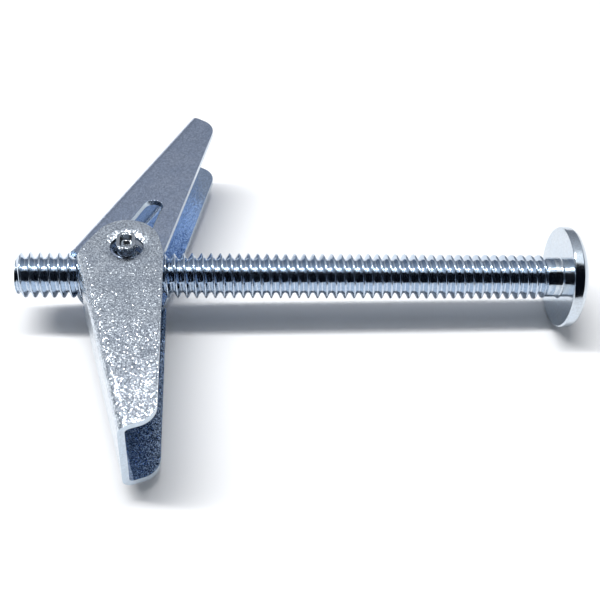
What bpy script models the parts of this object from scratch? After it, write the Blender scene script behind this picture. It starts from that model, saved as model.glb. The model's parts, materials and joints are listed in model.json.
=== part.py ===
"""Spring toggle wall anchor: a machine screw, a trunnion nut, two sheet-metal wings and their spring.

Frame: origin at the centre of the screw's tip face, +X along the screw towards its head,
+Z along the trunnion that the wings turn on. Metres. The wings are drawn sprung open.
"""

import math

import bmesh
import bpy
from mathutils import Matrix, Vector

MM = 0.001
COLLECTION = "wall_anchor"

# The screw: 1/4-20 thread, measured along X from the tip.
PITCH = 1.27 * MM
MAJOR_R = 3.1 * MM
MINOR_R = 2.32 * MM
NECK_R = 2.75 * MM
SCREW_LENGTH = 74.4 * MM
NECK_LENGTH = 2.1 * MM
TIP_R = 2.5 * MM
TIP_CHAMFER = 0.65 * MM
CREST_FLAT = PITCH / 8
FLANK = (MAJOR_R - MINOR_R) * math.tan(math.radians(30))
THREAD_STEPS = 12
NECK_LAP = 0.5 * MM

# The head: a flat seat, a low rim and a dome, with a slot crossed by a recess.
HEAD_R = 7.05 * MM
HEAD_RIM = 1.55 * MM
HEAD_HEIGHT = 3.8 * MM
SEAT_ROUND = 0.3 * MM
HEAD_SIDES = 48
SLOT_WIDTH = 1.2 * MM
SLOT_DEPTH = 1.2 * MM
RECESS_SPAN = 6.4 * MM
RECESS_FOOT = 2.6 * MM
RECESS_WIDTH = 1.5 * MM
RECESS_DEPTH = 2.3 * MM
RECESS_TAPER = 0.7
CUTTER_PROUD = 0.5 * MM

# The pivot: the trunnion's axis runs along Z through this place on the screw's axis.
PIVOT_X = 14.75 * MM
INNER_ANGLE = math.radians(62.1)
OUTER_ANGLE = math.radians(75.7)

# The nut and its two stubs.
NUT_X = 7.2 * MM
NUT_Y = 8.0 * MM
NUT_Z = 6.7 * MM
NUT_ROUND = 0.6 * MM
BORE_R = MAJOR_R + 0.07 * MM
STUB_X = 2.4 * MM
STUB_Y = 3.2 * MM
STUB_ROUND = 1.0 * MM
STUB_END = 6.6 * MM
DIMPLE_WALL = 0.45 * MM
DIMPLE_DEPTH = 1.1 * MM

# The wings: one bent sheet each, drawn along +X with the pivot at the origin and the web at +Y.
SHEET = 0.85 * MM
BEND_R = 1.4 * MM
WEB_Y = 6.6 * MM
INNER_HALF = 5.1 * MM
OUTER_HALF = 6.1 * MM
OPEN_EDGE_Y = -5.08 * MM
OPEN_EDGE_SLOPE = 0.248
TIP_SET_BACK = 0.35 * MM
TIP_ROUND = 2.8 * MM
HOLE_R = 2.2 * MM
HOLE_OFFSET = 0.5 * MM
SLOT_END_X = 8.7 * MM
SLOT_END_Y = 1.05 * MM
SLOT_END_R = 1.36 * MM
NOTCH_HALF = 3.5 * MM
NOTCH_CORNER = 0.8 * MM
PAST_EDGE = 2.0 * MM

# Where the two wings differ: their length, the lug's radius, the web's end, and the notch over the screw.
INNER_LENGTH = 29.4 * MM
INNER_LUG_R = 4.9 * MM
INNER_WEB_START = -3.3 * MM
INNER_NOTCH_END = 1.2 * MM
OUTER_LENGTH = 28.85 * MM
OUTER_LUG_R = 4.4 * MM
OUTER_WEB_START = 0.3 * MM
OUTER_NOTCH_END = 2.4 * MM
STOP_HALF = OUTER_HALF - SHEET
STOP_END = 0.95 * MM

# The spring: one turn and a bit round the front stub, and a leg lying in each wing.
WIRE_R = 0.18 * MM
COIL_R = 2.03 * MM
COIL_LOW_Z = 3.59 * MM
COIL_HIGH_Z = 4.01 * MM
COIL_STEPS = 28
LEG_SLOPE = math.radians(14)
LEG_LENGTH = 10.5 * MM
LEG_END_X = 15.5 * MM
LEG_END_Y = 5.3 * MM

MERGE = 1e-6


def clear_scene():
    for thing in list(bpy.data.objects):
        bpy.data.objects.remove(thing, do_unlink=True)


def new_collection(name):
    group = bpy.data.collections.new(name)
    bpy.context.scene.collection.children.link(group)
    return group


def metal(name, colour, roughness):
    """A plated metal: its colour, roughness and full metallic value."""
    material = bpy.data.materials.new(name)
    material.use_nodes = True
    shader = material.node_tree.nodes["Principled BSDF"]
    shader.inputs["Base Color"].default_value = (*colour, 1.0)
    shader.inputs["Metallic"].default_value = 1.0
    shader.inputs["Roughness"].default_value = roughness
    return material


def add_object(name, data, group, material=None):
    thing = bpy.data.objects.new(name, data)
    group.objects.link(thing)
    if material:
        data.materials.append(material)
    return thing


def hide_cutters(group):
    for cutter in group.objects:
        cutter.hide_render = True
        cutter.display_type = "WIRE"


def boolean(thing, other, operation):
    modifier = thing.modifiers.new(f"{operation.lower()} {other.name}", "BOOLEAN")
    modifier.object = other
    modifier.operation = operation
    modifier.solver = "EXACT"


def applied(thing):
    """The object's mesh with its modifiers made real."""
    bpy.context.view_layer.update()
    graph = bpy.context.evaluated_depsgraph_get()
    mesh = bpy.data.meshes.new_from_object(thing.evaluated_get(graph), depsgraph=graph)
    thing.modifiers.clear()
    thing.data = mesh
    return mesh


def weld_and_orient(mesh):
    edit = bmesh.new()
    edit.from_mesh(mesh)
    bmesh.ops.remove_doubles(edit, verts=edit.verts, dist=MERGE)
    bmesh.ops.recalc_face_normals(edit, faces=edit.faces)
    edit.to_mesh(mesh)
    edit.free()


def smooth(mesh, sharp_degrees=35):
    mesh.shade_smooth()
    mesh.set_sharp_from_angle(angle=math.radians(sharp_degrees))


def arc(centre, radius, start, end, steps):
    """Points round a circle in a plane, from one angle to another, both in degrees."""
    points = []
    for step in range(steps + 1):
        angle = math.radians(start + (end - start) * step / steps)
        points.append((centre[0] + radius * math.cos(angle), centre[1] + radius * math.sin(angle)))
    return points


def polyline_mesh(name, points):
    mesh = bpy.data.meshes.new(name)
    mesh.from_pydata(points, [(i, i + 1) for i in range(len(points) - 1)], [])
    return mesh


def turned(name, profile, group, sides):
    """A solid turned about X: profile is (x, radius) pairs that start and end on the axis."""
    points = [(x, 0.0, radius) for x, radius in profile]
    thing = add_object(name, polyline_mesh(name, points), group)
    screw = thing.modifiers.new("turn", "SCREW")
    screw.axis = "X"
    screw.steps = sides
    screw.render_steps = sides
    screw.use_merge_vertices = True
    screw.merge_threshold = MERGE
    weld_and_orient(applied(thing))
    return thing


def prism(name, outline, low_z, high_z, group):
    """A flat outline in the XY plane, raised between two heights."""
    mesh = bpy.data.meshes.new(name)
    edit = bmesh.new()
    corners = [edit.verts.new((x, y, low_z)) for x, y in outline]
    face = edit.faces.new(corners)
    raised = bmesh.ops.extrude_face_region(edit, geom=[face])["geom"]
    tops = [item for item in raised if isinstance(item, bmesh.types.BMVert)]
    bmesh.ops.translate(edit, verts=tops, vec=(0, 0, high_z - low_z))
    bmesh.ops.recalc_face_normals(edit, faces=edit.faces)
    edit.to_mesh(mesh)
    edit.free()
    return add_object(name, mesh, group)


def rounded_rectangle(length, width, radius, steps):
    points = []
    for quarter in range(4):
        across = 1 if quarter in (0, 3) else -1
        along = 1 if quarter in (0, 1) else -1
        centre = (across * (length / 2 - radius), along * (width / 2 - radius))
        points += arc(centre, radius, 90 * quarter, 90 * quarter + 90, steps)
    return points


def threaded_rod(group, start, end):
    """The helical thread between two places on X, run past both and then cut square."""
    turns = math.ceil((end - start) / PITCH) + 2
    root_flat = PITCH - CREST_FLAT - 2 * FLANK
    profile = [
        (0.0, MINOR_R),
        (root_flat, MINOR_R),
        (root_flat + FLANK, MAJOR_R),
        (root_flat + FLANK + CREST_FLAT, MAJOR_R),
        (PITCH, MINOR_R),
    ]
    points = [(start - PITCH + x, 0.0, radius) for x, radius in profile]
    rod = add_object("thread", polyline_mesh("thread", points), group)
    helix = rod.modifiers.new("helix", "SCREW")
    helix.axis = "X"
    helix.steps = THREAD_STEPS
    helix.render_steps = THREAD_STEPS
    helix.iterations = turns
    helix.screw_offset = PITCH
    mesh = applied(rod)
    edit = bmesh.new()
    edit.from_mesh(mesh)
    bmesh.ops.remove_doubles(edit, verts=edit.verts, dist=MERGE)
    for place, side in ((start, -1), (end, 1)):
        everything = edit.verts[:] + edit.edges[:] + edit.faces[:]
        bmesh.ops.bisect_plane(
            edit, geom=everything, dist=MERGE, plane_co=(place, 0, 0), plane_no=(side, 0, 0), clear_outer=True
        )
    bmesh.ops.holes_fill(edit, edges=[edge for edge in edit.edges if edge.is_boundary])
    bmesh.ops.recalc_face_normals(edit, faces=edit.faces)
    edit.to_mesh(mesh)
    edit.free()
    return rod


def recess_arm(name, group, angle):
    """One tapered arm of the cross recess, narrowing towards its foot."""
    top_x = SCREW_LENGTH + HEAD_HEIGHT + CUTTER_PROUD
    foot_x = SCREW_LENGTH + HEAD_HEIGHT - RECESS_DEPTH
    edit = bmesh.new()
    bmesh.ops.create_cube(edit, size=1.0)
    for corner in edit.verts:
        at_top = corner.co.x > 0
        span = RECESS_SPAN if at_top else RECESS_FOOT
        width = RECESS_WIDTH if at_top else RECESS_WIDTH * RECESS_TAPER
        corner.co = Vector((top_x if at_top else foot_x, corner.co.y * span, corner.co.z * width))
    bmesh.ops.rotate(edit, verts=edit.verts, cent=(0, 0, 0), matrix=Matrix.Rotation(angle, 3, "X"))
    mesh = bpy.data.meshes.new(name)
    edit.to_mesh(mesh)
    edit.free()
    return add_object(name, mesh, group)


def drive_slot(group):
    edit = bmesh.new()
    bmesh.ops.create_cube(edit, size=1.0)
    bmesh.ops.scale(edit, verts=edit.verts, vec=(2 * SLOT_DEPTH, 3 * HEAD_R, SLOT_WIDTH))
    bmesh.ops.translate(edit, verts=edit.verts, vec=(SCREW_LENGTH + HEAD_HEIGHT, 0, 0))
    mesh = bpy.data.meshes.new("drive_slot")
    edit.to_mesh(mesh)
    edit.free()
    return add_object("drive_slot", mesh, group)


def machine_screw(parts, cutters, material):
    """The shank's thread, its plain neck and the domed head, in one piece."""
    thread_end = SCREW_LENGTH - NECK_LENGTH
    screw = threaded_rod(parts, 0.0, thread_end)
    screw.name = "machine_screw"
    clear = MAJOR_R + CUTTER_PROUD
    blank_slope = (MAJOR_R - TIP_R) / TIP_CHAMFER
    blank_profile = [
        (0.0, 0.0),
        (0.0, TIP_R),
        ((clear - TIP_R) / blank_slope, clear),
        (SCREW_LENGTH, clear),
        (SCREW_LENGTH, 0.0),
    ]
    blank = turned("tip_blank", blank_profile, cutters, 2 * THREAD_STEPS)
    rise = HEAD_HEIGHT - HEAD_RIM
    dome_r = (HEAD_R**2 + rise**2) / (2 * rise)
    dome_half = math.degrees(math.asin(HEAD_R / dome_r))
    dome_centre = (SCREW_LENGTH + HEAD_HEIGHT - dome_r, 0.0)
    seat_centre = (SCREW_LENGTH + SEAT_ROUND, HEAD_R - SEAT_ROUND)
    neck_start = thread_end - NECK_LAP
    head_profile = [(neck_start, 0.0), (neck_start, NECK_R), (SCREW_LENGTH, NECK_R)]
    head_profile += arc(seat_centre, SEAT_ROUND, 180, 90, 3)
    head_profile += arc(dome_centre, dome_r, dome_half, 0, 6)
    head = turned("head", head_profile, cutters, HEAD_SIDES)
    boolean(screw, blank, "INTERSECT")
    boolean(screw, head, "UNION")
    boolean(screw, drive_slot(cutters), "DIFFERENCE")
    for arm in range(2):
        boolean(screw, recess_arm(f"recess_arm_{arm + 1}", cutters, arm * math.pi / 2), "DIFFERENCE")
    screw.data.materials.append(material)
    smooth(screw.data)
    return screw


def trunnion_nut(parts, cutters, material):
    """The nut block, with a stub at each end of the trunnion's axis and a dimple in each stub."""
    nut = prism("trunnion_nut", rounded_rectangle(NUT_X, NUT_Y, NUT_ROUND, 4), -NUT_Z / 2, NUT_Z / 2, parts)
    stub_outline = rounded_rectangle(STUB_X, STUB_Y, STUB_ROUND, 5)
    stubs = prism("stubs", stub_outline, -STUB_END, STUB_END, cutters)
    boolean(nut, stubs, "UNION")
    wall = 2 * DIMPLE_WALL
    dimple_outline = rounded_rectangle(STUB_X - wall, STUB_Y - wall, STUB_ROUND - DIMPLE_WALL, 3)
    for side in (-1, 1):
        floor = side * (STUB_END - DIMPLE_DEPTH)
        mouth = side * (STUB_END + DIMPLE_DEPTH)
        name = "front_dimple" if side > 0 else "back_dimple"
        boolean(nut, prism(name, dimple_outline, min(floor, mouth), max(floor, mouth), cutters), "DIFFERENCE")
    bore = turned("bore", [(-NUT_X, 0), (-NUT_X, BORE_R), (NUT_X, BORE_R), (NUT_X, 0)], cutters, 32)
    boolean(nut, bore, "DIFFERENCE")
    weld_and_orient(applied(nut))
    nut.location = (PIVOT_X, 0, 0)
    nut.data.materials.append(material)
    smooth(nut.data)
    return nut


def tangent_angle(centre_distance, centre_angle, radius):
    """Where a line from a point outside a circle touches it, on the far side, in degrees."""
    return centre_angle + math.degrees(math.acos(radius / centre_distance))


def wing_outline(length, lug_r, web_start):
    """The side of a wing: round lug, tapering open edge, rounded tip corner, and the web's line."""
    past_web = WEB_Y + PAST_EDGE
    corner_distance = math.hypot(web_start, WEB_Y)
    corner_angle = math.degrees(math.atan2(WEB_Y, web_start))
    touch = tangent_angle(corner_distance, corner_angle, lug_r)
    outline = [(web_start, past_web), (web_start, WEB_Y)]
    outline += arc((0, 0), lug_r, touch, 270, 12)
    outline.append(((-lug_r - OPEN_EDGE_Y) / OPEN_EDGE_SLOPE, -lug_r))
    slope = math.atan(OPEN_EDGE_SLOPE)
    corner = Vector((length - TIP_SET_BACK, OPEN_EDGE_Y + OPEN_EDGE_SLOPE * (length - TIP_SET_BACK)))
    lean = math.atan2(TIP_SET_BACK, WEB_Y - corner.y)
    sweep = math.pi / 2 - slope - lean
    along = Vector((math.cos(slope), math.sin(slope)))
    first = corner - along * TIP_ROUND * math.tan(sweep / 2)
    centre = first + Vector((-along.y, along.x)) * TIP_ROUND
    start = math.degrees(slope) - 90
    outline += arc(centre, TIP_ROUND, start, start + math.degrees(sweep), 7)
    outline.append((length, WEB_Y))
    outline.append((length + math.tan(lean) * PAST_EDGE, past_web))
    return outline


def channel(name, length, half_width, group):
    """The wing's sheet bent into a U: two flanges and a web, with Solidify giving its thickness."""
    section = [(OPEN_EDGE_Y - PAST_EDGE, half_width)]
    section += [(y, z) for z, y in arc((half_width - BEND_R, WEB_Y - BEND_R), BEND_R, 0, 90, 5)]
    section += [(y, -z) for y, z in reversed(section)]
    start = -INNER_LUG_R - PAST_EDGE
    end = length + PAST_EDGE
    mesh = polyline_mesh(name, [(start, y, z) for y, z in section])
    edit = bmesh.new()
    edit.from_mesh(mesh)
    swept = bmesh.ops.extrude_edge_only(edit, edges=edit.edges[:])["geom"]
    far = [item for item in swept if isinstance(item, bmesh.types.BMVert)]
    bmesh.ops.translate(edit, verts=far, vec=(end - start, 0, 0))
    bmesh.ops.recalc_face_normals(edit, faces=edit.faces)
    edit.to_mesh(mesh)
    edit.free()
    thing = add_object(name, mesh, group)
    sheet = thing.modifiers.new("sheet", "SOLIDIFY")
    sheet.thickness = SHEET
    sheet.offset = -1.0
    sheet.use_even_offset = True
    return thing


def slot_outline(far_x, far_y, far_r, steps):
    """A hole at the pivot that narrows to a smaller round end: two arcs and their tangents."""
    near = Vector((HOLE_OFFSET, 0.0))
    far = Vector((far_x, far_y))
    apart = far - near
    heading = math.degrees(math.atan2(apart.y, apart.x))
    spread = math.degrees(math.acos((HOLE_R - far_r) / apart.length))
    outline = arc(near, HOLE_R, heading + spread, heading + 360 - spread, 2 * steps)
    outline += arc(far, far_r, heading - spread, heading + spread, steps)
    return outline


def web_notch(name, half_width, end_x, group):
    """A round-cornered opening in the web, from its end over the screw."""
    start = INNER_WEB_START - PAST_EDGE
    turn_x = end_x - NOTCH_CORNER
    turn_y = half_width - NOTCH_CORNER
    outline = [(start, -half_width)]
    outline += arc((turn_x, -turn_y), NOTCH_CORNER, -90, 0, 3)
    outline += arc((turn_x, turn_y), NOTCH_CORNER, 0, 90, 3)
    outline.append((start, half_width))
    cutter = prism(name, outline, WEB_Y - BEND_R, WEB_Y + PAST_EDGE, group)
    cutter.data.transform(Matrix.Rotation(math.radians(-90), 4, "X"))
    return cutter


def wing(name, parts, cutters, length, half_width, outline, holes, notches):
    """One wing: the bent sheet kept inside its side outline, with its holes and its notches."""
    thing = channel(name, length, half_width, parts)
    tall = half_width + PAST_EDGE
    side = prism(f"{name}_side", outline, -tall, tall, cutters)
    boolean(thing, side, "INTERSECT")
    boolean(thing, prism(f"{name}_hole", holes, -tall, tall, cutters), "DIFFERENCE")
    for number, (notch_half, notch_end) in enumerate(notches):
        boolean(thing, web_notch(f"{name}_notch_{number + 1}", notch_half, notch_end, cutters), "DIFFERENCE")
    weld_and_orient(applied(thing))
    return thing


def place_wing(thing, angle, side, material):
    """Turn a wing to its rest angle about the pivot; side is +1 for +Y and -1, mirrored, for -Y."""
    if side < 0:
        thing.data.transform(Matrix.Scale(-1, 4, (0, 1, 0)))
        thing.data.flip_normals()
    thing.data.materials.append(material)
    smooth(thing.data)
    thing.location = (PIVOT_X, 0, 0)
    thing.rotation_euler = (0, 0, side * angle)


def inner_wing(parts, cutters, material):
    """The narrower wing, on the +Y side. Its hole is drawn out into a slot along the wing."""
    outline = wing_outline(INNER_LENGTH, INNER_LUG_R, INNER_WEB_START)
    holes = slot_outline(SLOT_END_X, SLOT_END_Y, SLOT_END_R, 8)
    notches = [(NOTCH_HALF, INNER_NOTCH_END)]
    thing = wing("inner_wing", parts, cutters, INNER_LENGTH, INNER_HALF, outline, holes, notches)
    place_wing(thing, INNER_ANGLE, 1, material)
    return thing


def outer_wing(parts, cutters, material):
    """The wider wing, on the -Y side. Its web ends short of the other's flanges, which stop on it."""
    outline = wing_outline(OUTER_LENGTH, OUTER_LUG_R, OUTER_WEB_START)
    holes = arc((HOLE_OFFSET, 0), HOLE_R, 0, 345, 23)
    notches = [(NOTCH_HALF, OUTER_NOTCH_END), (STOP_HALF, STOP_END)]
    thing = wing("outer_wing", parts, cutters, OUTER_LENGTH, OUTER_HALF, outline, holes, notches)
    place_wing(thing, OUTER_ANGLE, -1, material)
    return thing


def leg_points(angle, side, height):
    """A spring leg from its coil's tangent point to its end against a wing's web."""
    along = Vector((math.cos(LEG_SLOPE), math.sin(LEG_SLOPE)))
    start = Vector((along.y, -along.x)) * COIL_R
    knee = start + along * LEG_LENGTH
    end = Vector((LEG_END_X, LEG_END_Y))
    turn = Matrix.Rotation(side * angle, 2)
    points = []
    for place in (start, start.lerp(knee, 0.5), knee, knee.lerp(end, 0.5), end):
        turned_place = turn @ Vector((place.x, side * place.y))
        points.append((PIVOT_X + turned_place.x, turned_place.y, height))
    return points


def torsion_spring(parts, material):
    """One wire: a leg in each wing, and between them a coil round the front stub."""
    upper = leg_points(INNER_ANGLE, 1, COIL_HIGH_Z)
    lower = leg_points(OUTER_ANGLE, -1, COIL_LOW_Z)
    first = math.atan2(upper[0][1], upper[0][0] - PIVOT_X)
    last = math.atan2(lower[0][1], lower[0][0] - PIVOT_X)
    sweep = last - first + 2 * math.pi
    coil = []
    for step in range(1, COIL_STEPS):
        share = step / COIL_STEPS
        angle = first + sweep * share
        height = COIL_HIGH_Z + (COIL_LOW_Z - COIL_HIGH_Z) * share
        coil.append((PIVOT_X + COIL_R * math.cos(angle), COIL_R * math.sin(angle), height))
    points = upper[::-1] + coil + lower
    curve = bpy.data.curves.new("torsion_spring", "CURVE")
    curve.dimensions = "3D"
    curve.bevel_depth = WIRE_R
    curve.bevel_resolution = 2
    curve.use_fill_caps = True
    spline = curve.splines.new("POLY")
    spline.points.add(len(points) - 1)
    for point, place in zip(spline.points, points):
        point.co = (*place, 1.0)
    return add_object("torsion_spring", curve, parts, material)


def main():
    clear_scene()
    parts = new_collection(COLLECTION)
    cutters = new_collection("cutters")
    machine_screw(parts, cutters, metal("screw_zinc", (0.62, 0.68, 0.74), 0.22))
    trunnion_nut(parts, cutters, metal("nut_zinc", (0.60, 0.64, 0.68), 0.3))
    wing_zinc = metal("wing_zinc", (0.58, 0.65, 0.73), 0.32)
    inner_wing(parts, cutters, wing_zinc)
    outer_wing(parts, cutters, wing_zinc)
    torsion_spring(parts, metal("spring_zinc", (0.58, 0.62, 0.66), 0.25))
    hide_cutters(cutters)


main()
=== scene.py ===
import json
import math

import bmesh
import bpy
from mathutils import Matrix, Vector


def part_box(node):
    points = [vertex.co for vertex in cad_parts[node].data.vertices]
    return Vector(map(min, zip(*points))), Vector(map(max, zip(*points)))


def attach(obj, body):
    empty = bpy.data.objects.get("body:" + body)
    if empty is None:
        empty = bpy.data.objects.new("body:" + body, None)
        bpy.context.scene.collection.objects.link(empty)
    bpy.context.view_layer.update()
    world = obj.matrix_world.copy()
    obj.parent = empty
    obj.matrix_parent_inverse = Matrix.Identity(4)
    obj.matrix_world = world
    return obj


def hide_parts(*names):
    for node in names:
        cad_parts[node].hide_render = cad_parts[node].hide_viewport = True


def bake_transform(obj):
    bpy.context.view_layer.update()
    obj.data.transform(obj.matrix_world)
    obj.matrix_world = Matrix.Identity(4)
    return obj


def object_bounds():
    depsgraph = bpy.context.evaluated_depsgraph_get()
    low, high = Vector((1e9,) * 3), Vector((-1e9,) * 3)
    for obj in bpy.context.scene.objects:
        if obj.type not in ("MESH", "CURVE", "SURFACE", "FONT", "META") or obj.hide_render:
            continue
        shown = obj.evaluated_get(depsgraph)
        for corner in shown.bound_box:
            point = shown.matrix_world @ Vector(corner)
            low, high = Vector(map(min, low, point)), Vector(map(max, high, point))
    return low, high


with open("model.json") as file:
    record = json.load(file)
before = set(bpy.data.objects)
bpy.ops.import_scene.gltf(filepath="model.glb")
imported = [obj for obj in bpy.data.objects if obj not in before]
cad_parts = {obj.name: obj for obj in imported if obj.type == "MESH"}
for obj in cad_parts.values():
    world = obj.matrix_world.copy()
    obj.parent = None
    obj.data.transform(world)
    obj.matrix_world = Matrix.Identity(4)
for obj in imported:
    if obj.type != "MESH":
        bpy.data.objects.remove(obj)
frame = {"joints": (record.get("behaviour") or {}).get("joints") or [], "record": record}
cad_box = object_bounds()

# ---------------------------------------------------------------- driving dimensions, metres
MM = 0.001
MERGE = 1e-7

JOINTS = {joint["name"]: joint for joint in frame["joints"]}
MOUNTS = {mount["name"]: mount for mount in frame["record"]["mounts"]}
PIVOT = Vector(JOINTS["inner_wing_fold"]["pos_m"])
SEAT_X = MOUNTS["head_seat"]["pos_m"][0]
SCREW_LOW, SCREW_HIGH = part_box("machine_screw")
NUT_LOW, NUT_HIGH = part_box("trunnion_nut")
INNER_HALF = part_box("inner_wing")[1].z
OUTER_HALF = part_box("outer_wing")[1].z

# The screw: 1/4-20 thread, a plain neck and a domed head. ROOT_CUT is the height that the thread's
# flat root takes from the sharp V, and THREAD_SOFT rounds the root and the crest.
PITCH = 1.27 * MM
MAJOR_R = 3.1 * MM
MINOR_R = 2.32 * MM
THREAD_DEPTH = MAJOR_R - MINOR_R
FLANK_ANGLE = math.radians(30)
ROOT_CUT = 0.15 * PITCH
THREAD_SOFT = 0.06 * MM
THREAD_STEPS = 44
PROFILE_POINTS = 14
NECK_R = 2.75 * MM
NECK_LENGTH = 2.1 * MM
RUN_OUT_LEAD = 0.5 * MM
RUN_OUT = 0.8 * MM
TIP_R = 2.5 * MM
TIP_CHAMFER = 0.65 * MM
SHANK_LAP = 0.4 * MM
HEAD_R = SCREW_HIGH.z
HEAD_RIM = 1.55 * MM
HEAD_TOP = SCREW_HIGH.x
HEAD_LAP = 1.0 * MM
HEAD_FILLET = 0.25 * MM
SEAT_ROUND = 0.3 * MM
RIM_ROUND = 0.35 * MM
HEAD_EDGE = 0.07 * MM
HEAD_SIDES = 144
SLOT_WIDTH = 1.2 * MM
SLOT_DEPTH = 1.2 * MM
RECESS_SPAN = 6.4 * MM
RECESS_FOOT = 2.6 * MM
RECESS_WIDTH = 1.5 * MM
RECESS_DEPTH = 2.3 * MM
RECESS_TAPER = 0.7
CUTTER_PROUD = 0.5 * MM

# The nut and its stubs.
NUT_X = NUT_HIGH.x - NUT_LOW.x
NUT_Y = NUT_HIGH.y - NUT_LOW.y
NUT_Z = 6.7 * MM
NUT_ROUND = 0.6 * MM
NUT_EDGE = 0.12 * MM
BORE_R = MAJOR_R + 0.05 * MM
STUB_END = NUT_HIGH.z
STUB_X = 2.4 * MM
STUB_Y = 3.2 * MM
STUB_ROUND = 1.0 * MM
DIMPLE_WALL = 0.45 * MM
DIMPLE_DEPTH = 1.1 * MM

# The wings, each drawn along +X with the pivot at the origin and the web at +Y.
SHEET = 0.85 * MM
BEND_R = 1.4 * MM
WEB_Y = 6.6 * MM
OPEN_EDGE_Y = -5.08 * MM
OPEN_EDGE_SLOPE = 0.248
TIP_SET_BACK = 0.35 * MM
TIP_ROUND = 2.8 * MM
HOLE_R = 2.2 * MM
HOLE_OFFSET = 0.5 * MM
SLOT_END = (8.7 * MM, 1.05 * MM)
SLOT_END_R = 1.36 * MM
PAST_EDGE = 2.0 * MM
NOTCH_HALF = 3.5 * MM
NOTCH_CORNER = 0.8 * MM
DISH_R = 3.3 * MM
DISH_DEPTH = 0.3 * MM
INNER_EDGE_ROUND = 0.1 * MM
OUTER_EDGE_ROUND = 0.5 * MM
ON_FACE = 0.01 * MM

INNER_ANGLE = math.radians(62.1)
INNER_LENGTH = 29.4 * MM
INNER_LUG_R = 4.9 * MM
INNER_WEB_START = -3.3 * MM
INNER_NOTCHES = [(NOTCH_HALF, 1.2 * MM)]

OUTER_ANGLE = math.radians(75.7)
OUTER_LENGTH = 28.85 * MM
OUTER_LUG_R = 4.4 * MM
OUTER_WEB_START = 0.3 * MM
OUTER_NOTCHES = [(NOTCH_HALF, 2.4 * MM), (OUTER_HALF - SHEET, 0.95 * MM)]

# The spring, which is guessed: it is hidden between the nut and the wings.
WIRE_R = 0.18 * MM
COIL_R = 2.03 * MM
COIL_LOW_Z = 3.59 * MM
COIL_HIGH_Z = 4.01 * MM
LEG_SLOPE = math.radians(14)
LEG_LENGTH = 10.5 * MM
LEG_END = (15.5 * MM, 5.3 * MM)
COIL_STEPS = 80
LEG_STEPS = 12
END_STEPS = 6

# The zinc plate's pattern: how many of each feature to a millimetre.
CLOUDS_PER_MM = 0.35
CRYSTALS_PER_MM = 3.6
FINE_PER_MM = 9.0
WAVES_PER_MM = 0.22
FACETS_PER_MM = 10.0

# The floor: its half width, its gap from the head's rim, and how much lower it is under the tip.
FLOOR_REACH = 1.2
FLOOR_GAP = 0.1 * MM
TIP_PROPPED = 1.3 * MM

# The camera stands in front of the pivot and above it, and looks down and a little to the right.
CAMERA_FROM_PIVOT = Vector((11.44, -94.69, 97.09)) * MM
CAMERA_YAW = math.radians(7.33)
CAMERA_PITCH = math.radians(46.88)
CAMERA_ROLL = math.radians(5.49)
CAMERA_LENS = 59.37
CAMERA_SENSOR = 36.0

# The room, as colours and as the parts of the sky's X and Y over which one fades into the next.
FRONT = (0.002, 0.003, 0.006)
CEILING = (1.25, 1.3, 1.35)
BESIDE = (0.09, 0.11, 0.14)
WALL_TOP = (0.60, 0.63, 0.68)
WALL_FOOT = (0.26, 0.28, 0.32)
FRONT_TO_CEILING = (-0.26, -0.18)
CEILING_TO_WALL = (0.16, 0.34)
CEILING_TO_BESIDE = (0.50, 0.75)
WALL_TOP_TO_FOOT = (0.34, 0.9)

# The key light: a strip along the screw.
KEY_TARGET = Vector((0.035, 0.0, 0.0))
KEY_OFFSET = Vector((-0.14, 0.046, 0.5))
KEY_SIZE = (0.48, 0.035)
KEY_POWER = 2.9


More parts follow.
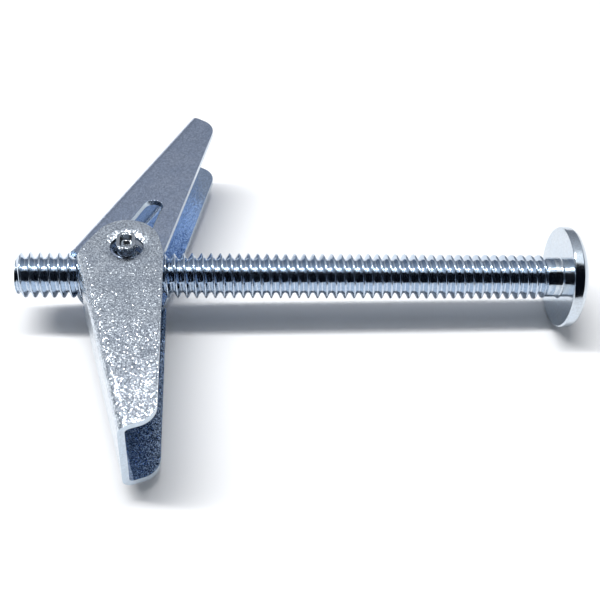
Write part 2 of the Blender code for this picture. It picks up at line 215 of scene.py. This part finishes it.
# ---------------------------------------------------------------- materials
class Nodes:
    """A short way to add nodes to one tree and join them."""

    def __init__(self, tree):
        self.tree = tree

    def add(self, kind, **values):
        node = self.tree.nodes.new(kind)
        for name, value in values.items():
            setattr(node, name, value)
        return node

    def link(self, source, target):
        self.tree.links.new(source, target)

    def noise(self, place, scale, detail=3.0, roughness=0.55):
        node = self.add("ShaderNodeTexNoise")
        node.inputs["Scale"].default_value = scale
        node.inputs["Detail"].default_value = detail
        node.inputs["Roughness"].default_value = roughness
        self.link(place, node.inputs["Vector"])
        return node.outputs["Fac"]

    def ramp(self, value, low, high, out_low, out_high):
        node = self.add("ShaderNodeMapRange", clamp=True)
        limits = {"From Min": low, "From Max": high, "To Min": out_low, "To Max": out_high}
        for name, number in limits.items():
            node.inputs[name].default_value = number
        self.link(value, node.inputs["Value"])
        return node.outputs["Result"]

    def mix(self, share, first, second):
        """A mix of two colours, each a tuple or a socket."""
        node = self.add("ShaderNodeMix", data_type="RGBA")
        self.link(share, node.inputs["Factor"])
        for socket, colour in ((node.inputs[6], first), (node.inputs[7], second)):
            if isinstance(colour, tuple):
                socket.default_value = (*colour, 1.0)
            else:
                self.link(colour, socket)
        return node.outputs[2]

    def maths(self, operation, first, second):
        node = self.add("ShaderNodeMath", operation=operation)
        for socket, value in zip(node.inputs, (first, second)):
            if isinstance(value, (int, float)):
                socket.default_value = value
            else:
                self.link(value, socket)
        return node.outputs["Value"]

    def bump(self, height, distance, strength, normal=None):
        node = self.add("ShaderNodeBump")
        node.inputs["Distance"].default_value = distance
        node.inputs["Strength"].default_value = strength
        self.link(height, node.inputs["Height"])
        if normal:
            self.link(normal, node.inputs["Normal"])
        return node.outputs["Normal"]

    def facets(self, place, scale, tilt, normal):
        """Small crystals, each with its own random tilt away from the normal."""
        cells = self.add("ShaderNodeTexVoronoi")
        cells.inputs["Scale"].default_value = scale
        self.link(place, cells.inputs["Vector"])
        centred = self.add("ShaderNodeVectorMath", operation="SUBTRACT")
        self.link(cells.outputs["Color"], centred.inputs[0])
        centred.inputs[1].default_value = (0.5,) * 3
        tilted = self.add("ShaderNodeVectorMath", operation="MULTIPLY_ADD")
        self.link(centred.outputs["Vector"], tilted.inputs[0])
        tilted.inputs[1].default_value = (2 * tilt,) * 3
        self.link(normal, tilted.inputs[2])
        unit = self.add("ShaderNodeVectorMath", operation="NORMALIZE")
        self.link(tilted.outputs["Vector"], unit.inputs[0])
        return unit.outputs["Vector"]


def object_place(nodes):
    """The object's own coordinates, in millimetres."""
    coords = nodes.add("ShaderNodeTexCoord")
    mapping = nodes.add("ShaderNodeMapping")
    mapping.inputs["Scale"].default_value = (1 / MM,) * 3
    nodes.link(coords.outputs["Object"], mapping.inputs["Vector"])
    return mapping.outputs["Vector"]


def zinc(name, base, tint, rough, grain, wave=0.0, tilt=0.0, fleck=0.2):
    """Bright zinc plate: a blue-white metal with fine crystals, and clouds of a second faint colour.

    base and tint are its two colours, rough its lowest and highest roughness, grain the height of
    its crystals and wave the height of the sheet's slow unevenness, both in millimetres, tilt how
    far its crystal facets lean, and fleck how much darker its darkest crystals are.
    """
    material = bpy.data.materials.new(name)
    material.use_nodes = True
    nodes = Nodes(material.node_tree)
    shader = material.node_tree.nodes["Principled BSDF"]
    place = object_place(nodes)
    cloud = nodes.noise(place, CLOUDS_PER_MM, detail=2.0)
    crystal = nodes.noise(place, CRYSTALS_PER_MM, detail=4.0, roughness=0.65)
    fine = nodes.noise(place, FINE_PER_MM, detail=2.0)
    colour = nodes.mix(nodes.ramp(cloud, 0.35, 0.65, 0.0, 1.0), base, tint)
    speck = nodes.ramp(nodes.maths("ADD", crystal, fine), 0.85, 1.15, 0.0, 1.0)
    darker = tuple((1 - fleck) * channel for channel in base)
    nodes.link(nodes.mix(speck, darker, colour), shader.inputs["Base Color"])
    shader.inputs["Metallic"].default_value = 1.0
    spread = nodes.maths("ADD", nodes.maths("MULTIPLY", crystal, 0.6), nodes.maths("MULTIPLY", cloud, 0.4))
    nodes.link(nodes.ramp(spread, 0.35, 0.65, rough[0], rough[1]), shader.inputs["Roughness"])
    normal = nodes.bump(crystal, grain * MM, 1.0)
    normal = nodes.bump(fine, 0.4 * grain * MM, 1.0, normal)
    if wave:
        slow = nodes.noise(place, WAVES_PER_MM, detail=1.0)
        normal = nodes.bump(slow, wave * MM, 1.0, normal)
    if tilt:
        normal = nodes.facets(place, FACETS_PER_MM, tilt, normal)
    nodes.link(normal, shader.inputs["Normal"])
    return material


def make_materials():
    """One finish for each kind of surface; the outer wing's holds painted light and the channels' inside
    painted shade.
    """
    return {
        "screw": zinc("screw_zinc", (0.64, 0.73, 0.84), (0.60, 0.70, 0.83), (0.06, 0.14), 0.005),
        "head": zinc("head_zinc", (0.70, 0.76, 0.82), (0.64, 0.72, 0.81), (0.07, 0.15), 0.004),
        "inner_wing": zinc(
            "inner_wing_zinc", (0.60, 0.69, 0.86), (0.65, 0.72, 0.86), (0.13, 0.22), 0.006,
            wave=0.04, tilt=0.09, fleck=0.25,
        ),
        # The outer wing's colours are lighter than the inner wing's: painted light, standing in for the
        # glints it catches from the key.
        "outer_wing": zinc(
            "outer_wing_painted_light_zinc", (0.82, 0.89, 0.97), (0.86, 0.92, 0.97), (0.12, 0.24), 0.006,
            wave=0.09, tilt=0.225, fleck=0.36,
        ),
        # The channel's inside is smoother, and darker and bluer than the outsides: that colour is painted
        # shade for the hollow.
        "wing_inside_painted_shade": zinc(
            "wing_inside_zinc", (0.55, 0.67, 0.86), (0.60, 0.71, 0.87), (0.05, 0.11), 0.004,
            wave=0.02, tilt=0.12, fleck=0.20,
        ),
        "wing_edge": zinc("wing_edge_zinc", (0.60, 0.68, 0.76), (0.54, 0.62, 0.72), (0.16, 0.30), 0.012),
        "nut": zinc("nut_zinc", (0.66, 0.70, 0.74), (0.58, 0.63, 0.69), (0.10, 0.22), 0.012),
        "spring": zinc("spring_zinc", (0.64, 0.68, 0.72), (0.58, 0.64, 0.70), (0.12, 0.22), 0.003),
    }


# ---------------------------------------------------------------- mesh helpers
def new_object(name, mesh, materials=()):
    """The mesh as an object in the scene, with its materials."""
    thing = bpy.data.objects.new(name, mesh)
    bpy.context.scene.collection.objects.link(thing)
    for material in materials:
        mesh.materials.append(material)
    return thing


def applied(thing):
    """The object with its modifiers made real."""
    bpy.context.view_layer.update()
    graph = bpy.context.evaluated_depsgraph_get()
    mesh = bpy.data.meshes.new_from_object(thing.evaluated_get(graph), depsgraph=graph)
    thing.modifiers.clear()
    thing.data = mesh
    return mesh


def edit_mesh(mesh, work):
    """Run work on the mesh as a bmesh, then close up doubles and turn the faces outwards."""
    edit = bmesh.new()
    edit.from_mesh(mesh)
    work(edit)
    bmesh.ops.remove_doubles(edit, verts=edit.verts, dist=MERGE)
    bmesh.ops.recalc_face_normals(edit, faces=edit.faces)
    edit.to_mesh(mesh)
    edit.free()


def boolean(thing, others, operation):
    """Join or cut with other objects, apply it, and remove them."""
    for other in others:
        modifier = thing.modifiers.new(other.name, "BOOLEAN")
        modifier.object = other
        modifier.operation = operation
        modifier.solver = "EXACT"
    applied(thing)
    for other in others:
        bpy.data.objects.remove(other, do_unlink=True)


def round_edges(thing, width, segments=3, angle=30):
    """Rounded edges with flat faces kept flat: those sharper than angle, or by weight where it is None."""
    bevel = thing.modifiers.new("edges", "BEVEL")
    bevel.width = width
    bevel.segments = segments
    if angle is None:
        bevel.limit_method = "WEIGHT"
    else:
        bevel.limit_method = "ANGLE"
        bevel.angle_limit = math.radians(angle)
    bevel.miter_outer = "MITER_ARC"
    applied(thing)
    shade(thing)


def shade(thing, sharp_degrees=40):
    """Smooth shading with sharp creases, and normals that keep large faces flat."""
    thing.data.shade_smooth()
    thing.data.set_sharp_from_angle(angle=math.radians(sharp_degrees))
    weighted = thing.modifiers.new("weighted", "WEIGHTED_NORMAL")
    weighted.mode = "FACE_AREA"
    weighted.weight = 100
    weighted.keep_sharp = True
    applied(thing)


def arc(centre, radius, start, end, steps):
    """Points round a circle in a plane, from one angle to another, both in degrees."""
    points = []
    for step in range(steps + 1):
        angle = math.radians(start + (end - start) * step / steps)
        points.append((centre[0] + radius * math.cos(angle), centre[1] + radius * math.sin(angle)))
    return points


def polyline(name, points):
    """A mesh of one open line through points."""
    mesh = bpy.data.meshes.new(name)
    mesh.from_pydata(points, [(i, i + 1) for i in range(len(points) - 1)], [])
    return mesh


def turned(name, profile, sides):
    """A solid turned about X: profile is (x, radius) pairs that start and end on the axis."""
    thing = new_object(name, polyline(name, [(x, 0.0, radius) for x, radius in profile]))
    screw = thing.modifiers.new("turn", "SCREW")
    screw.axis = "X"
    screw.steps = sides
    screw.render_steps = sides
    screw.use_merge_vertices = True
    screw.merge_threshold = MERGE
    edit_mesh(applied(thing), lambda edit: None)
    return thing


def prism(name, outline, low_z, high_z):
    """A flat outline in the XY plane, raised between two heights."""
    mesh = bpy.data.meshes.new(name)

    def raise_outline(edit):
        face = edit.faces.new([edit.verts.new((x, y, low_z)) for x, y in outline])
        raised = bmesh.ops.extrude_face_region(edit, geom=[face])["geom"]
        tops = [item for item in raised if isinstance(item, bmesh.types.BMVert)]
        bmesh.ops.translate(edit, verts=tops, vec=(0, 0, high_z - low_z))

    edit_mesh(mesh, raise_outline)
    return new_object(name, mesh)


def rounded_rectangle(length, width, radius, steps):
    """An outline round the origin, with an arc at each corner."""
    points = []
    for quarter in range(4):
        across = 1 if quarter in (0, 3) else -1
        along = 1 if quarter in (0, 1) else -1
        centre = (across * (length / 2 - radius), along * (width / 2 - radius))
        points += arc(centre, radius, 90 * quarter, 90 * quarter + 90, steps)
    return points


def smoothstep(value):
    """A smooth rise from 0 to 1."""
    value = min(max(value, 0.0), 1.0)
    return value * value * (3 - 2 * value)


# ---------------------------------------------------------------- the screw
def thread_profile(points):
    """Radii across one pitch: a rounded root, 60 degree flanks and a rounded crest."""
    rise = PITCH / (2 * math.tan(FLANK_ANGLE))
    profile = []
    for step in range(points + 1):
        share = step / points
        ridge = rise * (1 - abs(2 * share - 1)) - ROOT_CUT
        low = 0.5 * (ridge + math.hypot(ridge, THREAD_SOFT))
        over = low - THREAD_DEPTH
        height = low - 0.5 * (over + math.hypot(over, THREAD_SOFT))
        profile.append((share * PITCH, MINOR_R + height))
    return profile


def shank_limit(x, radius):
    """The thread's radius after the tip's chamfer and the run-out into the neck."""
    cone = TIP_R + max(x, 0.0) * (MAJOR_R - TIP_R) / TIP_CHAMFER
    radius = min(radius, cone)
    neck_start = SEAT_X - NECK_LENGTH
    return radius + (NECK_R - radius) * smoothstep((x - neck_start + RUN_OUT_LEAD) / RUN_OUT)


def threaded_shank():
    """The rolled thread as one helical surface, cut square at the tip and inside the head."""
    start = SCREW_LOW.x
    end = SEAT_X + SHANK_LAP
    one_pitch = [(start - PITCH + x, 0.0, radius) for x, radius in thread_profile(PROFILE_POINTS)]
    shank = new_object("machine_screw_shank", polyline("shank", one_pitch))
    helix = shank.modifiers.new("helix", "SCREW")
    helix.axis = "X"
    helix.steps = THREAD_STEPS
    helix.render_steps = THREAD_STEPS
    helix.iterations = math.ceil((end - start) / PITCH) + 2
    helix.screw_offset = PITCH
    mesh = applied(shank)

    def cut_ends(edit):
        bmesh.ops.remove_doubles(edit, verts=edit.verts, dist=MERGE)
        for vert in edit.verts:
            radius = math.hypot(vert.co.y, vert.co.z)
            scale = shank_limit(vert.co.x, radius) / radius
            vert.co.y *= scale
            vert.co.z *= scale
        for place, side in ((start, -1), (end, 1)):
            bmesh.ops.bisect_plane(
                edit, geom=edit.verts[:] + edit.edges[:] + edit.faces[:], dist=MERGE,
                plane_co=(place, 0, 0), plane_no=(side, 0, 0), clear_outer=True,
            )
        bmesh.ops.holes_fill(edit, edges=[edge for edge in edit.edges if edge.is_boundary])

    edit_mesh(mesh, cut_ends)
    return shank


def recess_arm(angle):
    """One tapered arm of the cross recess, narrowing towards its foot."""
    top_x = HEAD_TOP + CUTTER_PROUD
    foot_x = HEAD_TOP - RECESS_DEPTH
    mesh = bpy.data.meshes.new("recess_arm")

    def shape(edit):
        bmesh.ops.create_cube(edit, size=1.0)
        for corner in edit.verts:
            at_top = corner.co.x > 0
            span = RECESS_SPAN if at_top else RECESS_FOOT
            width = RECESS_WIDTH if at_top else RECESS_TAPER * RECESS_WIDTH
            corner.co = Vector((top_x if at_top else foot_x, corner.co.y * span, corner.co.z * width))
        bmesh.ops.rotate(edit, verts=edit.verts, cent=(0, 0, 0), matrix=Matrix.Rotation(angle, 3, "X"))

    edit_mesh(mesh, shape)
    return new_object("recess_arm", mesh)


def drive_slot():
    """A bar right across the dome's crown, for the slot to be cut with."""
    mesh = bpy.data.meshes.new("drive_slot")

    def shape(edit):
        bmesh.ops.create_cube(edit, size=1.0)
        bmesh.ops.scale(edit, verts=edit.verts, vec=(2 * SLOT_DEPTH, 3 * HEAD_R, SLOT_WIDTH))
        bmesh.ops.translate(edit, verts=edit.verts, vec=(HEAD_TOP, 0, 0))

    edit_mesh(mesh, shape)
    return new_object("drive_slot", mesh)


def screw_head():
    """The turned head with its rim, dome, slot and recess, and a fillet up to the neck."""
    root_x = SEAT_X - HEAD_LAP
    rim_x = SEAT_X + HEAD_RIM
    rise = HEAD_TOP - rim_x
    dome_r = (HEAD_R**2 + rise**2) / (2 * rise)
    dome_half = math.degrees(math.asin(HEAD_R / dome_r))
    dome_start = dome_half - 2.0
    profile = [(root_x, 0.0), (root_x, NECK_R)]
    profile += arc((SEAT_X - HEAD_FILLET, NECK_R + HEAD_FILLET), HEAD_FILLET, 270, 360, 5)
    profile += arc((SEAT_X + SEAT_ROUND, HEAD_R - SEAT_ROUND), SEAT_ROUND, 180, 90, 6)
    profile += arc((rim_x - RIM_ROUND, HEAD_R - RIM_ROUND), RIM_ROUND, 90, dome_half, 6)
    profile += arc((HEAD_TOP - dome_r, 0.0), dome_r, dome_start, 0, 28)
    head = turned("machine_screw_head", profile, HEAD_SIDES)
    boolean(head, [drive_slot(), recess_arm(0.0), recess_arm(math.pi / 2)], "DIFFERENCE")
    round_edges(head, HEAD_EDGE, 2, 38)
    return head


def make_screw(materials):
    """The shank and the head, in two pieces with a finish each."""
    shank = threaded_shank()
    shank.data.materials.append(materials["screw"])
    shank.data.shade_smooth()
    shank.data.set_sharp_from_angle(angle=math.radians(50))
    head = screw_head()
    head.data.materials.append(materials["head"])
    for piece in (shank, head):
        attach(piece, "screw")
    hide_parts("machine_screw")


# ---------------------------------------------------------------- the trunnion nut
def make_nut(materials):
    """The nut block with its stubs, each stub hollowed at its end inside a rounded rim."""
    block = rounded_rectangle(NUT_X, NUT_Y, NUT_ROUND, 8)
    nut = prism("trunnion_nut_body", block, -NUT_Z / 2, NUT_Z / 2)
    stubs = prism("stubs", rounded_rectangle(STUB_X, STUB_Y, STUB_ROUND, 12), -STUB_END, STUB_END)
    boolean(nut, [stubs], "UNION")
    wall = 2 * DIMPLE_WALL
    outline = rounded_rectangle(STUB_X - wall, STUB_Y - wall, STUB_ROUND - DIMPLE_WALL, 8)
    cutters = []
    for side in (-1, 1):
        heights = sorted((side * (STUB_END - DIMPLE_DEPTH), side * (STUB_END + DIMPLE_DEPTH)))
        cutters.append(prism("dimple", outline, *heights))
    cutters.append(turned("bore", [(-NUT_X, 0), (-NUT_X, BORE_R), (NUT_X, BORE_R), (NUT_X, 0)], 96))
    boolean(nut, cutters, "DIFFERENCE")
    nut.location = PIVOT
    nut.data.materials.append(materials["nut"])
    round_edges(nut, NUT_EDGE, 3, 35)
    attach(nut, "nut")
    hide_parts("trunnion_nut")


# ---------------------------------------------------------------- the wings
def wing_outline(length, lug_r, web_start):
    """The side of a wing: round lug, tapering open edge, rounded tip corner, and the web's line."""
    past_web = WEB_Y + PAST_EDGE
    heading = math.degrees(math.atan2(WEB_Y, web_start))
    touch = heading + math.degrees(math.acos(lug_r / math.hypot(web_start, WEB_Y)))
    outline = [(web_start, past_web), (web_start, WEB_Y)]
    outline += arc((0, 0), lug_r, touch, 270, 40)
    outline.append(((-lug_r - OPEN_EDGE_Y) / OPEN_EDGE_SLOPE, -lug_r))
    slope = math.atan(OPEN_EDGE_SLOPE)
    corner = Vector((length - TIP_SET_BACK, OPEN_EDGE_Y + OPEN_EDGE_SLOPE * (length - TIP_SET_BACK)))
    lean = math.atan2(TIP_SET_BACK, WEB_Y - corner.y)
    sweep = math.pi / 2 - slope - lean
    along = Vector((math.cos(slope), math.sin(slope)))
    first = corner - along * TIP_ROUND * math.tan(sweep / 2)
    centre = first + Vector((-along.y, along.x)) * TIP_ROUND
    start = math.degrees(slope) - 90
    outline += arc(centre, TIP_ROUND, start, start + math.degrees(sweep), 22)
    outline.append((length, WEB_Y))
    outline.append((length + math.tan(lean) * PAST_EDGE, past_web))
    return outline


def slot_outline():
    """The inner wing's hole, drawn out along the wing to a smaller round end."""
    near = Vector((HOLE_OFFSET, 0.0))
    far = Vector(SLOT_END)
    apart = far - near
    heading = math.degrees(math.atan2(apart.y, apart.x))
    spread = math.degrees(math.acos((HOLE_R - SLOT_END_R) / apart.length))
    outline = arc(near, HOLE_R, heading + spread, heading + 360 - spread, 40)
    return outline + arc(far, SLOT_END_R, heading - spread, heading + spread, 24)


def channel(name, length, half_width):
    """The wing's sheet bent into a U: two flanges and a web, with Solidify giving its thickness."""
    section = [(OPEN_EDGE_Y - PAST_EDGE, half_width)]
    section += [(y, z) for z, y in arc((half_width - BEND_R, WEB_Y - BEND_R), BEND_R, 0, 90, 14)]
    section += [(y, -z) for y, z in reversed(section)]
    start = -INNER_LUG_R - PAST_EDGE
    end = length + PAST_EDGE
    mesh = polyline(name, [(start, y, z) for y, z in section])

    def sweep(edit):
        swept = bmesh.ops.extrude_edge_only(edit, edges=edit.edges[:])["geom"]
        far = [item for item in swept if isinstance(item, bmesh.types.BMVert)]
        bmesh.ops.translate(edit, verts=far, vec=(end - start, 0, 0))

    edit_mesh(mesh, sweep)
    thing = new_object(name, mesh)
    sheet = thing.modifiers.new("sheet", "SOLIDIFY")
    sheet.thickness = SHEET
    sheet.offset = -1.0
    sheet.use_even_offset = True
    applied(thing)
    return thing


def web_notch(half_width, end_x):
    """A round-cornered opening in the web, from its end over the screw."""
    start = INNER_WEB_START - PAST_EDGE
    turn_x = end_x - NOTCH_CORNER
    turn_y = half_width - NOTCH_CORNER
    outline = [(start, -half_width)]
    outline += arc((turn_x, -turn_y), NOTCH_CORNER, -90, 0, 8)
    outline += arc((turn_x, turn_y), NOTCH_CORNER, 0, 90, 8)
    outline.append((start, half_width))
    cutter = prism("notch", outline, WEB_Y - BEND_R, WEB_Y + PAST_EDGE)
    cutter.data.transform(Matrix.Rotation(math.radians(-90), 4, "X"))
    return cutter


def mark_faces(edit, half_width):
    """Material 1 on the sheet's sheared edges, 2, with painted shade, on the inside of the channel and 0 on
    its outside.
    """
    for face in edit.faces:
        middle = face.calc_center_median()
        in_flange = abs(middle.z) > half_width - SHEET - ON_FACE and middle.y < WEB_Y - BEND_R
        across = abs(face.normal.z) < 0.1 if in_flange else abs(face.normal.x) > 0.7
        inward = face.normal.y * middle.y + face.normal.z * middle.z < 0
        face.material_index = 1 if across else 2 * inward


def weigh_edges(edit, half_width):
    """Bevel weights: full round the flanges' outer faces, where the shears rolled the edge, else slight."""
    weight = edit.edges.layers.float.new("bevel_weight_edge")
    for edge in edit.edges:
        if len(edge.link_faces) != 2 or edge.calc_face_angle(0.0) < math.radians(35):
            continue
        outside = all(abs(vert.co.z) > half_width - ON_FACE for vert in edge.verts)
        edge[weight] = 1.0 if outside else INNER_EDGE_ROUND / OUTER_EDGE_ROUND


def dish(half_width, side):
    """A shallow cone round the hole, where the punch drew the sheet in; side is +1 for the front flange."""
    reach = 2 * (DISH_R - HOLE_R)
    slope = DISH_DEPTH / (DISH_R - HOLE_R)
    profile = [(-slope * DISH_R, 0.0), (reach * slope, DISH_R + reach), (reach * slope, 0.0)]
    cutter = turned("dish", profile, 96)
    cutter.data.transform(Matrix.Rotation(math.radians(-90 * side), 4, "Y"))
    cutter.data.transform(Matrix.Translation((HOLE_OFFSET, 0, side * half_width)))
    return cutter


def make_wing(node, angle, side, half_width, length, outline, holes, notches, finishes, dishes=()):
    """One wing: the bent sheet kept inside its side outline, with its holes and notches cut.

    side is +1 for the wing that opens towards +Y and -1 for the other; finishes are the materials of
    its outside, its sheared edges and its inside, the inside's with painted shade; dishes are the
    flanges whose holes are drawn in.
    """
    thing = channel(node + "_sheet", length, half_width)
    tall = half_width + PAST_EDGE
    boolean(thing, [prism("side", outline, -tall, tall)], "INTERSECT")
    cutters = [prism("hole", holes, -tall, tall)]
    cutters += [web_notch(notch_half, notch_end) for notch_half, notch_end in notches]
    cutters += [dish(half_width, face) for face in dishes]
    boolean(thing, cutters, "DIFFERENCE")
    thing.data.materials.clear()
    for finish in finishes:
        thing.data.materials.append(finish)
    edit_mesh(thing.data, lambda edit: mark_faces(edit, half_width))
    edit_mesh(thing.data, lambda edit: weigh_edges(edit, half_width))
    if side < 0:
        thing.data.transform(Matrix.Scale(-1, 4, (0, 1, 0)))
        thing.data.flip_normals()
    round_edges(thing, OUTER_EDGE_ROUND, 4, None)
    thing.location = PIVOT
    thing.rotation_euler = (0, 0, side * angle)
    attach(thing, node)
    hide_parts(node)


def make_wings(materials):
    """The two wings. Their outlines and holes differ, and only the outer one's hole is dished."""
    edge_and_inside = (materials["wing_edge"], materials["wing_inside_painted_shade"])
    make_wing(
        "inner_wing", INNER_ANGLE, 1, INNER_HALF, INNER_LENGTH,
        outline=wing_outline(INNER_LENGTH, INNER_LUG_R, INNER_WEB_START),
        holes=slot_outline(),
        notches=INNER_NOTCHES,
        finishes=(materials["inner_wing"], *edge_and_inside),
    )
    make_wing(
        "outer_wing", OUTER_ANGLE, -1, OUTER_HALF, OUTER_LENGTH,
        outline=wing_outline(OUTER_LENGTH, OUTER_LUG_R, OUTER_WEB_START),
        holes=arc((HOLE_OFFSET, 0), HOLE_R, 0, 355, 71),
        notches=OUTER_NOTCHES,
        finishes=(materials["outer_wing"], *edge_and_inside),
        dishes=(1, -1),
    )


# ---------------------------------------------------------------- the spring
def leg_points(angle, side, height):
    """A spring leg from its coil's tangent point to its end against a wing's web."""
    start = Vector((COIL_R * math.sin(LEG_SLOPE), -COIL_R * math.cos(LEG_SLOPE)))
    knee = start + Vector((math.cos(LEG_SLOPE), math.sin(LEG_SLOPE))) * LEG_LENGTH
    end = Vector(LEG_END)
    turn = Matrix.Rotation(side * angle, 2)
    places = [start.lerp(knee, step / LEG_STEPS) for step in range(LEG_STEPS + 1)]
    places += [knee.lerp(end, step / END_STEPS) for step in range(1, END_STEPS + 1)]
    points = []
    for place in places:
        across = turn @ Vector((place.x, side * place.y))
        points.append(Vector((PIVOT.x + across.x, across.y, height)))
    return points


def wire(name, points, material):
    """A round wire along points, as a mesh with round ends capped."""
    curve = bpy.data.curves.new(name, "CURVE")
    curve.dimensions = "3D"
    curve.bevel_depth = WIRE_R
    curve.bevel_resolution = 4
    curve.use_fill_caps = True
    spline = curve.splines.new("POLY")
    spline.points.add(len(points) - 1)
    for point, place in zip(spline.points, points):
        point.co = (*place, 1.0)
    guide = bpy.data.objects.new(name + "_guide", curve)
    bpy.context.scene.collection.objects.link(guide)
    bpy.context.view_layer.update()
    graph = bpy.context.evaluated_depsgraph_get()
    mesh = bpy.data.meshes.new_from_object(guide.evaluated_get(graph), depsgraph=graph)
    bpy.data.objects.remove(guide, do_unlink=True)
    edit_mesh(mesh, lambda edit: None)
    mesh.materials.clear()
    thing = new_object(name, mesh, [material])
    mesh.shade_smooth()
    mesh.set_sharp_from_angle(angle=math.radians(50))
    return thing


def make_spring(materials):
    """The wire in two halves that meet in the coil; each leg lies along its wing and the coil round the
    pivot.
    """
    upper = leg_points(INNER_ANGLE, 1, COIL_HIGH_Z)
    lower = leg_points(OUTER_ANGLE, -1, COIL_LOW_Z)
    first = math.atan2(upper[0].y, upper[0].x - PIVOT.x)
    last = math.atan2(lower[0].y, lower[0].x - PIVOT.x)
    sweep = last - first + 2 * math.pi
    coil = []
    for step in range(1, COIL_STEPS):
        share = step / COIL_STEPS
        angle = first + sweep * share
        height = COIL_HIGH_Z + (COIL_LOW_Z - COIL_HIGH_Z) * share
        coil.append(Vector((PIVOT.x + COIL_R * math.cos(angle), COIL_R * math.sin(angle), height)))
    middle = len(coil) // 2
    halves = (
        ("torsion_spring_upper", upper[::-1] + coil[: middle + 1], "inner_wing", upper),
        ("torsion_spring_lower", coil[middle:] + lower, "outer_wing", lower),
    )
    for name, points, wing_body, leg in halves:
        half = wire(name, points, materials["spring"])
        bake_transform(half)
    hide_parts("torsion_spring")


# ---------------------------------------------------------------- the studio
def make_floor():
    """A pale floor just under the head's rim, and lower under the tip, which the wings prop up."""
    mesh = bpy.data.meshes.new("studio_floor")
    under_head = cad_box[0].z - FLOOR_GAP
    slope = TIP_PROPPED / (HEAD_TOP - SCREW_LOW.x)
    corners = []
    for x, y in ((-1, -1), (1, -1), (1, 1), (-1, 1)):
        height = under_head + slope * (x * FLOOR_REACH - HEAD_TOP)
        corners.append((x * FLOOR_REACH, y * FLOOR_REACH, height))
    mesh.from_pydata(corners, [], [(0, 1, 2, 3)])
    material = bpy.data.materials.new("studio_floor")
    material.use_nodes = True
    nodes = Nodes(material.node_tree)
    shader = material.node_tree.nodes["Principled BSDF"]
    place = object_place(nodes)
    cloud = nodes.noise(place, 0.02, detail=2.0)
    nodes.link(nodes.mix(cloud, (0.86, 0.86, 0.87), (0.90, 0.90, 0.90)), shader.inputs["Base Color"])
    shader.inputs["Roughness"].default_value = 0.6
    shader.inputs["Specular IOR Level"].default_value = 0.2
    new_object("studio_floor", mesh, [material])


def strip_light(name, place, target, size, power):
    """A white rectangular light that faces the target with its length along X."""
    light = bpy.data.lights.new(name, "AREA")
    light.shape = "RECTANGLE"
    light.size, light.size_y = size
    light.energy = power
    lamp = bpy.data.objects.new(name, light)
    bpy.context.scene.collection.objects.link(lamp)
    back = (place - target).normalized()
    across = Vector((0.0, 1.0, 0.0)).cross(back).normalized()
    turn = Matrix((across, back.cross(across), back)).transposed().to_4x4()
    lamp.matrix_world = Matrix.Translation(place) @ turn


def make_world():
    """A dim room: black in front, a bright ceiling overhead and a blue-grey wall behind."""
    world = bpy.data.worlds.new("studio")
    world.use_nodes = True
    bpy.context.scene.world = world
    nodes = Nodes(world.node_tree)
    background = world.node_tree.nodes["Background"]
    coords = nodes.add("ShaderNodeTexCoord")
    parts = nodes.add("ShaderNodeSeparateXYZ")
    nodes.link(coords.outputs["Generated"], parts.inputs["Vector"])
    across = nodes.maths("ABSOLUTE", parts.outputs["X"], 0.0)
    overhead = nodes.ramp(parts.outputs["Y"], *FRONT_TO_CEILING, 0.0, 1.0)
    behind = nodes.ramp(parts.outputs["Y"], *CEILING_TO_WALL, 0.0, 1.0)
    beside = nodes.ramp(across, *CEILING_TO_BESIDE, 0.0, 1.0)
    downwards = nodes.ramp(parts.outputs["Y"], *WALL_TOP_TO_FOOT, 0.0, 1.0)
    front_half = nodes.mix(overhead, FRONT, nodes.mix(beside, CEILING, BESIDE))
    wall = nodes.mix(downwards, WALL_TOP, WALL_FOOT)
    nodes.link(nodes.mix(behind, front_half, wall), background.inputs["Color"])
    background.inputs["Strength"].default_value = 1.0


def make_lights():
    """One long strip overhead, set a little behind the screw and towards its tip."""
    strip_light("key", KEY_TARGET + KEY_OFFSET, KEY_TARGET, KEY_SIZE, KEY_POWER)


def make_camera():
    """The camera, from its place, yaw, downward pitch and roll."""
    cos_yaw, sin_yaw = math.cos(CAMERA_YAW), math.sin(CAMERA_YAW)
    cos_pitch, sin_pitch = math.cos(CAMERA_PITCH), math.sin(CAMERA_PITCH)
    forward = Vector((sin_yaw * cos_pitch, cos_yaw * cos_pitch, -sin_pitch))
    level = Vector((cos_yaw, -sin_yaw, 0.0))
    upward = level.cross(forward)
    right = math.cos(CAMERA_ROLL) * level + math.sin(CAMERA_ROLL) * upward
    top = -math.sin(CAMERA_ROLL) * level + math.cos(CAMERA_ROLL) * upward
    data = bpy.data.cameras.new("photo_camera")
    data.lens = CAMERA_LENS
    data.sensor_width = CAMERA_SENSOR
    data.clip_start = 0.005
    data.clip_end = 10.0
    camera = bpy.data.objects.new("photo_camera", data)
    bpy.context.scene.collection.objects.link(camera)
    turn = Matrix((right, top, -forward)).transposed().to_4x4()
    camera.matrix_world = Matrix.Translation(PIVOT + CAMERA_FROM_PIVOT) @ turn
    bpy.context.scene.camera = camera


bpy.context.scene.view_settings.view_transform = "Standard"
looks = make_materials()
make_camera()
make_screw(looks)
make_nut(looks)
make_wings(looks)
make_spring(looks)
make_floor()
make_world()
make_lights()
